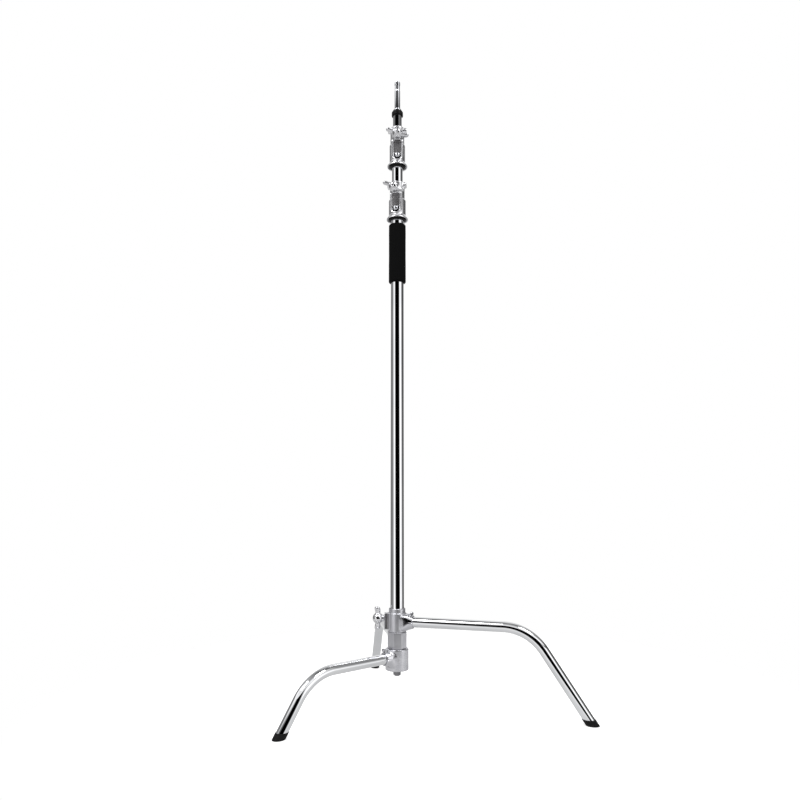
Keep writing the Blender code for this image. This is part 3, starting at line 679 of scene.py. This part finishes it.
def t_handle(prefix, hub, boss_face, pad_face, height, tilt, half_length):
    """The cast T-handle and its screw, along the hub's +X."""
    lay = along((1, 0, 0), (0, 0, height))
    body = f"{prefix}_handle"
    ball = boss_face + 3 * MM + BALL_RADIUS
    screw_end = ball - 2 * MM
    neck = [(8.2 * MM, boss_face + 1.0 * MM), (8.6 * MM, boss_face + 4.0 * MM)]
    arcs = [math.radians(-48 + 6 * i) for i in range(23)]
    dome = [(BALL_RADIUS * math.cos(a), ball + BALL_RADIUS * math.sin(a)) for a in arcs]
    handle = to_object(f"{prefix}_tee", placed(turned(neck + dome), lay))
    swing = Matrix.Translation((ball, 0, height)) @ Matrix.Rotation(math.radians(tilt), 4, "X")
    combine(handle, placed(handle_bar(half_length, tilt), swing), "UNION")
    dimple = turned([(3.2 * MM, ball + BALL_RADIUS - 2.2 * MM), (3.6 * MM, ball + BALL_RADIUS + 3 * MM)], 32)
    combine(handle, placed(dimple, lay), "DIFFERENCE")
    drill(handle, SCREW_RADIUS + GAP, 0.0, screw_end + GAP, lay)
    finish_piece(as_cast(handle, HANDLE_VOXEL, 4), f"{prefix}_t_handle", body, "polished_casting", hub)
    profile = threaded_profile(pad_face + PAD_LENGTH + GAP, screw_end)
    screw = to_object(f"{prefix}_thread", placed(turned(profile), lay))
    finish_piece(screw, f"{prefix}_screw", body, "steel", hub)


# Collars ------------------------------------------------------------------------------------------
# Every collar is built with its screw along +X, then turned.
def rounded_bar(across, out, low, high, radius, sides=20):
    """A vertical rib with domed ends."""
    profile = [(radius * 0.3, low), (radius * 0.8, low + radius * 0.5), (radius, low + radius * 1.2),
               (radius, high - radius * 1.2), (radius * 0.8, high - radius * 0.5), (radius * 0.3, high)]
    return placed(turned(profile, sides), Matrix.Translation((out, across, 0)))


def ridge(body, seat, steps=24, sides=16):
    """The rib that joins the rails' lower ends in a half circle under the bolt, along the round face."""
    rings = []
    for i in range(steps + 1):
        a = math.pi * i / steps
        across = RAIL_SPREAD * math.cos(a)
        out = math.sqrt(body ** 2 - across ** 2)
        face = Vector((out, across, 0)) / body
        path = Vector((across * math.sin(a) / out, -math.sin(a), -math.cos(a))).normalized()
        side = face.cross(path)
        centre = Vector((out - 0.6 * MM, across, seat - RAIL_SPREAD * math.sin(a)))
        rings.append([centre + RIDGE_RADIUS * (math.cos(t) * face + math.sin(t) * side)
                      for t in round_turn(sides)])
    return loft(rings)


def collar_shell(prefix, c):
    """The collar: skirt, bores, screw boss, rails with a recess between them, ears, ridge and bolt pocket."""
    body, neck, flare, held, clamped = (c[key] * MM for key in ("body", "neck", "flare", "held", "clamped"))
    rim, skirt, step, top, screw = (c[key] * MM for key in ("rim", "skirt", "step", "top", "screw"))
    held += GAP
    clamped += GAP
    ring = body - SKIRT_WALL + GAP
    outline = [(held, skirt), (held, step - 0.65 * MM), (clamped, step - 0.65 * MM), (clamped, top),
               (neck - 2.0 * MM, top), (neck, top - 3 * MM), (neck, step + 1.5 * MM), (body, step - 2.5 * MM),
               (body, skirt + 0.5 * MM), (flare, rim + 2.5 * MM), (flare, rim), (flare - 1.5 * MM, rim),
               (ring, skirt - 1.5 * MM), (ring, skirt)]
    shell = to_object(f"{prefix}_collar_casting", turned_ring(outline))
    lay = along((1, 0, 0), (0, 0, screw))
    boss = rounded([(neck - 4 * MM, held + 1.0 * MM), (14.0 * MM, neck + 1.5 * MM),
                    (10.6 * MM, neck + 6.0 * MM), (10.0 * MM, COLLAR_BOSS_FACE), (9.0 * MM, COLLAR_BOSS_FACE)],
                   1.5 * MM)
    combine(shell, placed(turned(boss), lay), "UNION")
    for side in (-1, 1):
        rail = rounded_bar(side * RAIL_SPREAD, body - 4.4 * MM, screw - 55 * MM, screw - 3 * MM, RAIL_RADIUS)
        combine(shell, rail, "UNION")
        start = c["clamped"] * MM + 2.85 * MM
        ear = rounded([(EAR_RADIUS, start), (EAR_RADIUS, EAR_REACH), (1.0 * MM, EAR_REACH)], 3.0 * MM)
        combine(shell, placed(turned(ear), along((0, side, 0), (EAR_FORWARD, 0, top - EAR_DROP))), "UNION")
    floor = held + 1.6 * MM
    recess = box((floor, -RECESS_HALF_WIDTH, screw - RECESS_BOTTOM_DROP),
                 (27 * MM, RECESS_HALF_WIDTH, screw - RECESS_TOP_DROP))
    combine(shell, recess, "DIFFERENCE")
    seat = screw - BOLT_DROP
    combine(shell, ridge(body, seat), "UNION")
    pocket = turned([(POCKET_RADIUS, body - POCKET_DEPTH), (POCKET_RADIUS, 30 * MM)])
    combine(shell, placed(pocket, along((1, 0, 0), (0, 0, seat))), "DIFFERENCE")
    drill(shell, PAD_POCKET_RADIUS, 6 * MM, clamped + 7.0 * MM, lay)
    drill(shell, SCREW_RADIUS + GAP, 10 * MM, 40 * MM, lay)
    shell = as_cast(shell, passes=5)
    shade_recess(shell, floor, body, screw)
    return shell


def shade_recess(shell, floor, body, screw):
    """Paints shade into the recess, as a darker finish than the rest, and paints the bolt's pocket black as
    painted shade.
    """
    for finish in ("tumbled_casting", "painted_shade_casting", "black_plastic"):
        shell.data.materials.append(FINISHES[finish])
    for face in shell.data.polygons:
        x, y, z = face.center
        level = screw - RECESS_BOTTOM_DROP - 0.1 * MM < z < screw - RECESS_TOP_DROP + 0.2 * MM
        if level and abs(y) < RECESS_HALF_WIDTH + 0.2 * MM and floor - 1.0 * MM < x < body - 0.4 * MM:
            # Painted shade: the recess's faces take the dark finish.
            face.material_index = 1
        deep = body - POCKET_DEPTH - 1.0 * MM < x < body
        if deep and math.hypot(y, z - screw + BOLT_DROP) < POCKET_RADIUS:
            # Painted shade: the bolt pocket's faces are coloured black.
            face.material_index = 2


def collar_bolt(prefix, seat):
    """A domed bolt with a hexagon key recess, sunk in its pocket."""
    radius, shoulder = 7.0 * MM, seat + 3.0 * MM
    dome = [(radius * math.cos(a), shoulder + 4.4 * MM * math.sin(a)) for a in [0.16 * i for i in range(10)]]
    bolt = to_object(f"{prefix}_dome_bolt", turned([(radius, seat)] + dome))
    recess = turned([(2.6 * MM, shoulder + 2.0 * MM), (2.6 * MM, shoulder + 8.0 * MM)], 6)
    combine(bolt, recess, "DIFFERENCE")
    return bolt


def collar_bumper(c):
    """The outline of the plastic ring inside the skirt, which a sliding hub would meet first."""
    held = c["held"] * MM + GAP
    ring = c["body"] * MM - SKIRT_WALL
    skirt, rim = c["skirt"] * MM - GAP, c["rim"] * MM
    return rounded([(ring, skirt), (held, skirt), (held, rim - 2.0 * MM), (ring - 1 * MM, rim - 2.0 * MM),
                    (ring + 0.8 * MM, rim - 0.2 * MM), (ring + 1.2 * MM, rim + 1.6 * MM),
                    (ring, skirt - 2.0 * MM)], 0.8 * MM, closed=True)


def collar_pieces(prefix, c):
    hub = spun(-90.0 + c["turn"])
    owner = c["owner"]
    screw = c["screw"] * MM
    shell = collar_shell(prefix, c)
    finish_piece(shell, f"{prefix}_collar", owner, "tumbled_casting", hub)
    bumper = to_object(f"{prefix}_bumper", turned_ring(collar_bumper(c)))
    finish_piece(bumper, f"{prefix}_collar_ring", owner, "black_plastic", hub)
    bolt = collar_bolt(prefix, c["body"] * MM - POCKET_DEPTH + GAP)
    lay = along((1, 0, 0), (0, 0, screw - BOLT_DROP))
    finish_piece(bolt, f"{prefix}_collar_bolt", owner, "steel", hub @ lay)
    pad_face = c["clamped"] * MM + 0.6 * MM
    t_handle(prefix, hub, COLLAR_BOSS_FACE, pad_face, screw, c["tilt"], COLLAR_HALF_LENGTH)


# Column -------------------------------------------------------------------------------------------
def tube(node, name, radius, body):
    """A chromed tube between the heights of its CAD node, with its rims eased."""
    low, high = (corner[2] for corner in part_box(node))
    inner = radius - TUBE_WALL
    outline = rounded([(radius, low), (radius, high), (inner, high), (inner, low)], 0.5 * MM, closed=True)
    finish_piece(to_object(name, turned_ring(outline)), node, body, "chrome")


def grip(steps=60):
    """The foam sleeve: soft rolled ends and a slight, uneven swell along its length."""
    low, high = (corner[2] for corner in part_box("foam_grip"))
    inner, side = COLUMN_RADIUS + GAP, GRIP_RADIUS - GRIP_EDGE
    bends = [math.pi / 2 * i / 8 for i in range(9)]
    outline = [(inner, low), (side, low)]
    outline += [(side + GRIP_EDGE * math.sin(a), low + GRIP_EDGE - GRIP_EDGE * math.cos(a)) for a in bends[1:]]
    for i in range(1, steps):
        share = i / steps
        swell = 0.10 * MM * math.sin(9.0 * share) + 0.06 * MM * math.sin(23.0 * share + 1.0)
        height = low + GRIP_EDGE + share * (high - low - 2 * GRIP_EDGE)
        outline.append((GRIP_RADIUS - 0.12 * MM + swell, height))
    outline += [(side + GRIP_EDGE * math.cos(a), high - GRIP_EDGE + GRIP_EDGE * math.sin(a)) for a in bends]
    outline.append((inner, high))
    sleeve = to_object("grip_sleeve", turned_ring(outline), smooth_angle=60)
    finish_piece(sleeve, "foam_grip", "base", "foam")


def top_pieces():
    """The black ring round the upper riser's end, and the grooved baby pin with its shoulder on the tube."""
    bottom, top, outer = 1586.0 * MM, 1599.5 * MM, 16.0 * MM
    inner = RISER_2_RADIUS + GAP
    ring = rounded([(inner, bottom), (outer, bottom), (outer, top - 2.6 * MM), (14.0 * MM, top), (inner, top)],
                   1.6 * MM, closed=True)
    finish_piece(to_object("cap", turned_ring(ring)), "top_cap", "riser_2", "black_plastic")
    stem, shoulder = RISER_2_RADIUS - TUBE_WALL - GAP, RISER_2_RADIUS - 0.2 * MM
    pin, groove = 8.0 * MM, 7.3 * MM
    seat, tip = 1598.35 * MM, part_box("baby_pin")[1][2]
    outline = rounded([(stem, 1545.0 * MM), (stem, seat), (shoulder, seat), (shoulder, seat + 5 * MM),
                       (shoulder - 1.8 * MM, seat + 8 * MM), (pin, seat + 9.5 * MM), (pin, 1663.0 * MM),
                       (groove, 1665.5 * MM), (groove, 1679.5 * MM), (pin, 1682.0 * MM), (pin, tip - 1.6 * MM),
                       (pin - 1.6 * MM, tip), (1.0 * MM, tip)], 0.7 * MM)
    finish_piece(to_object("spigot", turned(outline, FINE)), "baby_pin", "riser_2", "steel")


def base_pieces():
    """The washer and the hexagon bolt under the low casting."""
    top, bottom = 92.15 * MM, 89.95 * MM
    outer, hole = 13.0 * MM, 5.35 * MM
    washer = rounded([(outer, bottom), (outer, top), (hole, top), (hole, bottom)], 0.4 * MM, closed=True)
    finish_piece(to_object("washer", turned_ring(washer, MEDIUM)), "base_washer", "base", "steel")
    corner, tip, head = 9.6 * MM, 78.0 * MM, bottom - GAP
    bolt = to_object("base_hex_bolt", turned([(corner, tip), (corner, head)], 6))
    drum = turned([(6.3 * MM, tip - 0.01 * MM), (corner, 80.5 * MM), (corner, head + 0.01 * MM)], SMALL)
    combine(bolt, drum, "INTERSECT")
    combine(bolt, turned([(5.0 * MM, 84.0 * MM), (5.0 * MM, 119.5 * MM)], SMALL), "UNION")
    finish_piece(bolt, "base_bolt", "base", "dark_steel")


def plain_nodes():
    """Inner pieces that stay as the CAD model has them get their finishes."""
    for finish, nodes in (("steel", ["column_plug"]),
                          ("black_plastic", ["high_bush", "riser_1_bush", "riser_2_bush"]),
                          ("pad_plastic", ["high_brake_pad", "lower_brake_pad", "upper_brake_pad"])):
        for node in nodes:
            mesh = frame["nodes"][node].data
            mesh.materials.clear()
            mesh.materials.append(FINISHES[finish])


# Studio -------------------------------------------------------------------------------------------
# What the chrome reflects. Each light is a pair of ramps, multiplied: one by bearing and one by height.
# Bearings are shares of a turn: 0 straight behind the stand, 0.25 to its left, 0.5 in front, 0.75 to its right.
WALL_LIGHT = [(0.0, 0.70), (0.09, 0.45), (0.14, 0.12), (0.25, 0.24), (0.30, 0.18), (0.36, 0.03), (0.42, 0.0),
              (0.58, 0.0), (0.64, 0.12), (0.70, 0.18), (0.75, 0.15), (0.79, 0.05), (0.86, 0.07), (0.91, 0.30),
              (1.0, 0.70)]
PANEL_LIGHT = [(0.275, 0.0), (0.315, 0.65), (0.34, 1.0), (0.375, 1.0), (0.408, 0.0), (0.588, 0.0), (0.618, 1.0),
               (0.67, 1.0), (0.72, 0.30), (0.76, 0.0)]
SIDE_LIGHT = [(0.20, 0.1), (0.235, 0.9), (0.34, 1.0), (0.375, 0.1), (0.60, 0.1), (0.635, 1.0), (0.72, 0.9),
              (0.76, 0.2)]
BANK_LIGHT = [(0.0, 0.25), (0.20, 0.25), (0.28, 0.9), (0.70, 1.0), (0.76, 0.2), (1.0, 0.25)]
# Heights are half of one plus the sine of the elevation: 0 straight down, 0.5 level, 1 straight up.
WALL_HEIGHT = [(0.30, 0.0), (0.405, 1.0), (0.86, 1.0), (0.94, 0.4)]
PANEL_HEIGHT = [(0.30, 0.0), (0.405, 1.0), (0.733, 1.0), (0.745, 0.0)]
SIDE_HEIGHT = [(0.766, 0.0), (0.774, 0.95), (0.785, 0.95), (0.80, 0.0)]
BANK_HEIGHT = [(0.785, 0.0), (0.80, 0.95), (0.885, 0.85), (0.95, 0.45), (1.0, 0.25)]
FLOOR_LIGHT = [(0.0, 0.50), (0.20, 0.55), (0.30, 0.60), (0.40, 0.0)]
# The whole room is turned a little to the right, and leans to the left as it rises.
STUDIO_TURN = 0.022
STUDIO_LEAN = 0.094
STUDIO_STRENGTH = 1.15

# The floor: a disc that fades out between two distances from the origin. In reflections it glows light grey,
# with painted shade: darkest at a spot behind the stand and brighter further from it.
FLOOR_RADIUS = 1.05
FLOOR_FADE = (0.75, 1.0)
FLOOR_SPOT = (-0.10, 0.20, 0.0)
FLOOR_GREY = [(0.35, (0.57,) * 3), (0.55, (0.68,) * 3), (0.80, (0.86,) * 3)]
FLOOR_GREY_STRENGTH = 1.05
FLOOR_WHITE_STRENGTH = 0.5

# Each softbox's place to the side of the column and its power. Both aim at the column, at AIM_HEIGHT.
LAMPS = {"key": (-2.34, 110.0), "fill": (2.34, 91.0)}
LAMP_FORWARD = 1.98
LAMP_HEIGHT = 5.3
LAMP_SIZE = 1.98
AIM_HEIGHT = 0.8

CAMERA_SIDE = 7.4 * MM
CAMERA_DISTANCE = 1.757
CAMERA_HEIGHT = 0.5128
CAMERA_TIP = 8.468
SENSOR_WIDTH = 36.0
LENS = 30.12


def paint_ramp(ramp, stops):
    ramp.interpolation = "LINEAR"
    first, last = ramp.elements
    first.position, first.color = stops[0][0], (*[stops[0][1]] * 3, 1.0)
    last.position, last.color = stops[-1][0], (*[stops[-1][1]] * 3, 1.0)
    for place, light in stops[1:-1]:
        ramp.elements.new(place).color = (light, light, light, 1.0)


def studio_world():
    """Plain white to the camera. Reflections see the studio's walls, panels, overhead bank and pale floor."""
    world = bpy.data.worlds.new("studio")
    bpy.context.scene.world = world
    world.use_nodes = True
    tree = world.node_tree
    tree.nodes.clear()

    def add(kind, **settings):
        node = tree.nodes.new(kind)
        for key, value in settings.items():
            setattr(node, key, value)
        return node

    def maths(operation, *values):
        node = add("ShaderNodeMath", operation=operation)
        for socket, value in zip(node.inputs, values):
            if isinstance(value, bpy.types.NodeSocket):
                tree.links.new(value, socket)
            else:
                socket.default_value = value
        return node.outputs[0]

    def ramp(factor, stops):
        node = add("ShaderNodeValToRGB")
        tree.links.new(factor, node.inputs[0])
        paint_ramp(node.color_ramp, stops)
        return node.outputs[0]

    split = add("ShaderNodeSeparateXYZ")
    tree.links.new(add("ShaderNodeTexCoord").outputs["Generated"], split.inputs[0])
    x, y, z = split.outputs
    turn = maths("DIVIDE", maths("ARCTAN2", x, maths("MULTIPLY", y, -1.0)), 2 * math.pi)
    lean = maths("MULTIPLY_ADD", z, STUDIO_LEAN, 0.5 - STUDIO_TURN)
    bearing = maths("ADD", turn, lean)
    rise = maths("MULTIPLY_ADD", z, 0.5, 0.5)
    light = ramp(rise, FLOOR_LIGHT)
    for across, upward in ((WALL_LIGHT, WALL_HEIGHT), (PANEL_LIGHT, PANEL_HEIGHT), (SIDE_LIGHT, SIDE_HEIGHT),
                           (BANK_LIGHT, BANK_HEIGHT)):
        light = maths("ADD", light, maths("MULTIPLY", ramp(bearing, across), ramp(rise, upward)))
    lit = add("ShaderNodeBackground")
    tree.links.new(light, lit.inputs["Color"])
    lit.inputs["Strength"].default_value = STUDIO_STRENGTH
    plain = add("ShaderNodeBackground")
    plain.inputs["Color"].default_value = (1.0, 1.0, 1.0, 1.0)
    seen = add("ShaderNodeMixShader")
    tree.links.new(add("ShaderNodeLightPath").outputs["Is Camera Ray"], seen.inputs[0])
    tree.links.new(lit.outputs[0], seen.inputs[1])
    tree.links.new(plain.outputs[0], seen.inputs[2])
    out = add("ShaderNodeOutputWorld")
    tree.links.new(seen.outputs[0], out.inputs[0])


def floor():
    """A pale round floor that fades out past the feet: white to the camera, and in the chrome a glowing light
    grey with painted shade round a spot behind the stand.
    """
    shape = bmesh.new()
    bmesh.ops.create_circle(shape, cap_ends=True, radius=FLOOR_RADIUS, segments=FINE)
    plane = to_object("floor", shape)
    plane.location.z = -0.4 * MM
    n = Nodes("floor")
    n.set(Base_Color=(0.97, 0.97, 0.97, 1.0), Roughness=0.9, Emission_Color=(1.0, 1.0, 1.0, 1.0),
          Emission_Strength=FLOOR_WHITE_STRENGTH, Specular_IOR_Level=0.0)
    place = n.add("ShaderNodeTexCoord").outputs["Object"]
    reach = n.add("ShaderNodeVectorMath", {"operation": "LENGTH"})
    n.feed(reach.inputs[0], place)
    behind = n.add("ShaderNodeVectorMath", {"operation": "DISTANCE"})
    n.feed(behind.inputs[0], place)
    n.feed(behind.inputs[1], FLOOR_SPOT)
    # Painted shade: in reflections the floor glows darker near a spot behind the stand.
    grey = n.add("ShaderNodeEmission", Color=n.ramp(behind.outputs["Value"], FLOOR_GREY),
                 Strength=FLOOR_GREY_STRENGTH)
    seen = n.mix(n.add("ShaderNodeLightPath").outputs["Is Camera Ray"], grey.outputs[0], n.shader.outputs[0])
    edge = n.ramp(reach.outputs["Value"], [(FLOOR_FADE[0], (0, 0, 0)), (FLOOR_FADE[1], (1, 1, 1))])
    faded = n.mix(edge, seen, n.add("ShaderNodeBsdfTransparent").outputs[0])
    n.feed(n.tree.nodes["Material Output"].inputs[0], faded)
    plane.data.materials.append(n.material)


def lights():
    """Two softboxes in front of the stand at either side, well above its fully extended height."""
    for name, (side, power) in LAMPS.items():
        data = bpy.data.lights.new(name, "AREA")
        data.shape = "RECTANGLE"
        data.size, data.size_y = LAMP_SIZE, LAMP_SIZE
        data.energy = power
        lamp = bpy.data.objects.new(name, data)
        lamp.location = (AXIS.x + side, AXIS.y - LAMP_FORWARD, LAMP_HEIGHT)
        aim = Vector((AXIS.x, AXIS.y, AIM_HEIGHT)) - lamp.location
        lamp.rotation_euler = aim.to_track_quat("-Z", "Y").to_euler()
        bpy.context.collection.objects.link(lamp)


def camera():
    """Low and close in front of the stand, tipped up to take in the pin."""
    data = bpy.data.cameras.new("camera")
    data.sensor_width = SENSOR_WIDTH
    data.lens = LENS
    view = bpy.data.objects.new("camera", data)
    view.location = (AXIS.x + CAMERA_SIDE, AXIS.y - CAMERA_DISTANCE, CAMERA_HEIGHT)
    view.rotation_euler = (math.radians(90.0 + CAMERA_TIP), 0, 0)
    bpy.context.collection.objects.link(view)
    bpy.context.scene.camera = view


FINISHES = make_finishes()
camera()
studio_world()
lights()
floor()
for leg_name, leg_sizes in LEGS.items():
    leg_pieces(leg_name, leg_sizes)
t_handle("high", spun(180.0), HIGH_BOSS_FACE, HIGH_PAD_FACE, HIGH_SCREW_HEIGHT, HIGH_TILT, HIGH_HALF_LENGTH)
for collar_name, collar_sizes in COLLARS.items():
    collar_pieces(collar_name, collar_sizes)
tube("column_tube", "column", COLUMN_RADIUS, "base")
tube("riser_1_tube", "riser_lower", RISER_1_RADIUS, "riser_1")
tube("riser_2_tube", "riser_upper", RISER_2_RADIUS, "riser_2")
grip()
top_pieces()
base_pieces()
plain_nodes()

bpy.context.scene.view_settings.view_transform = "Standard"
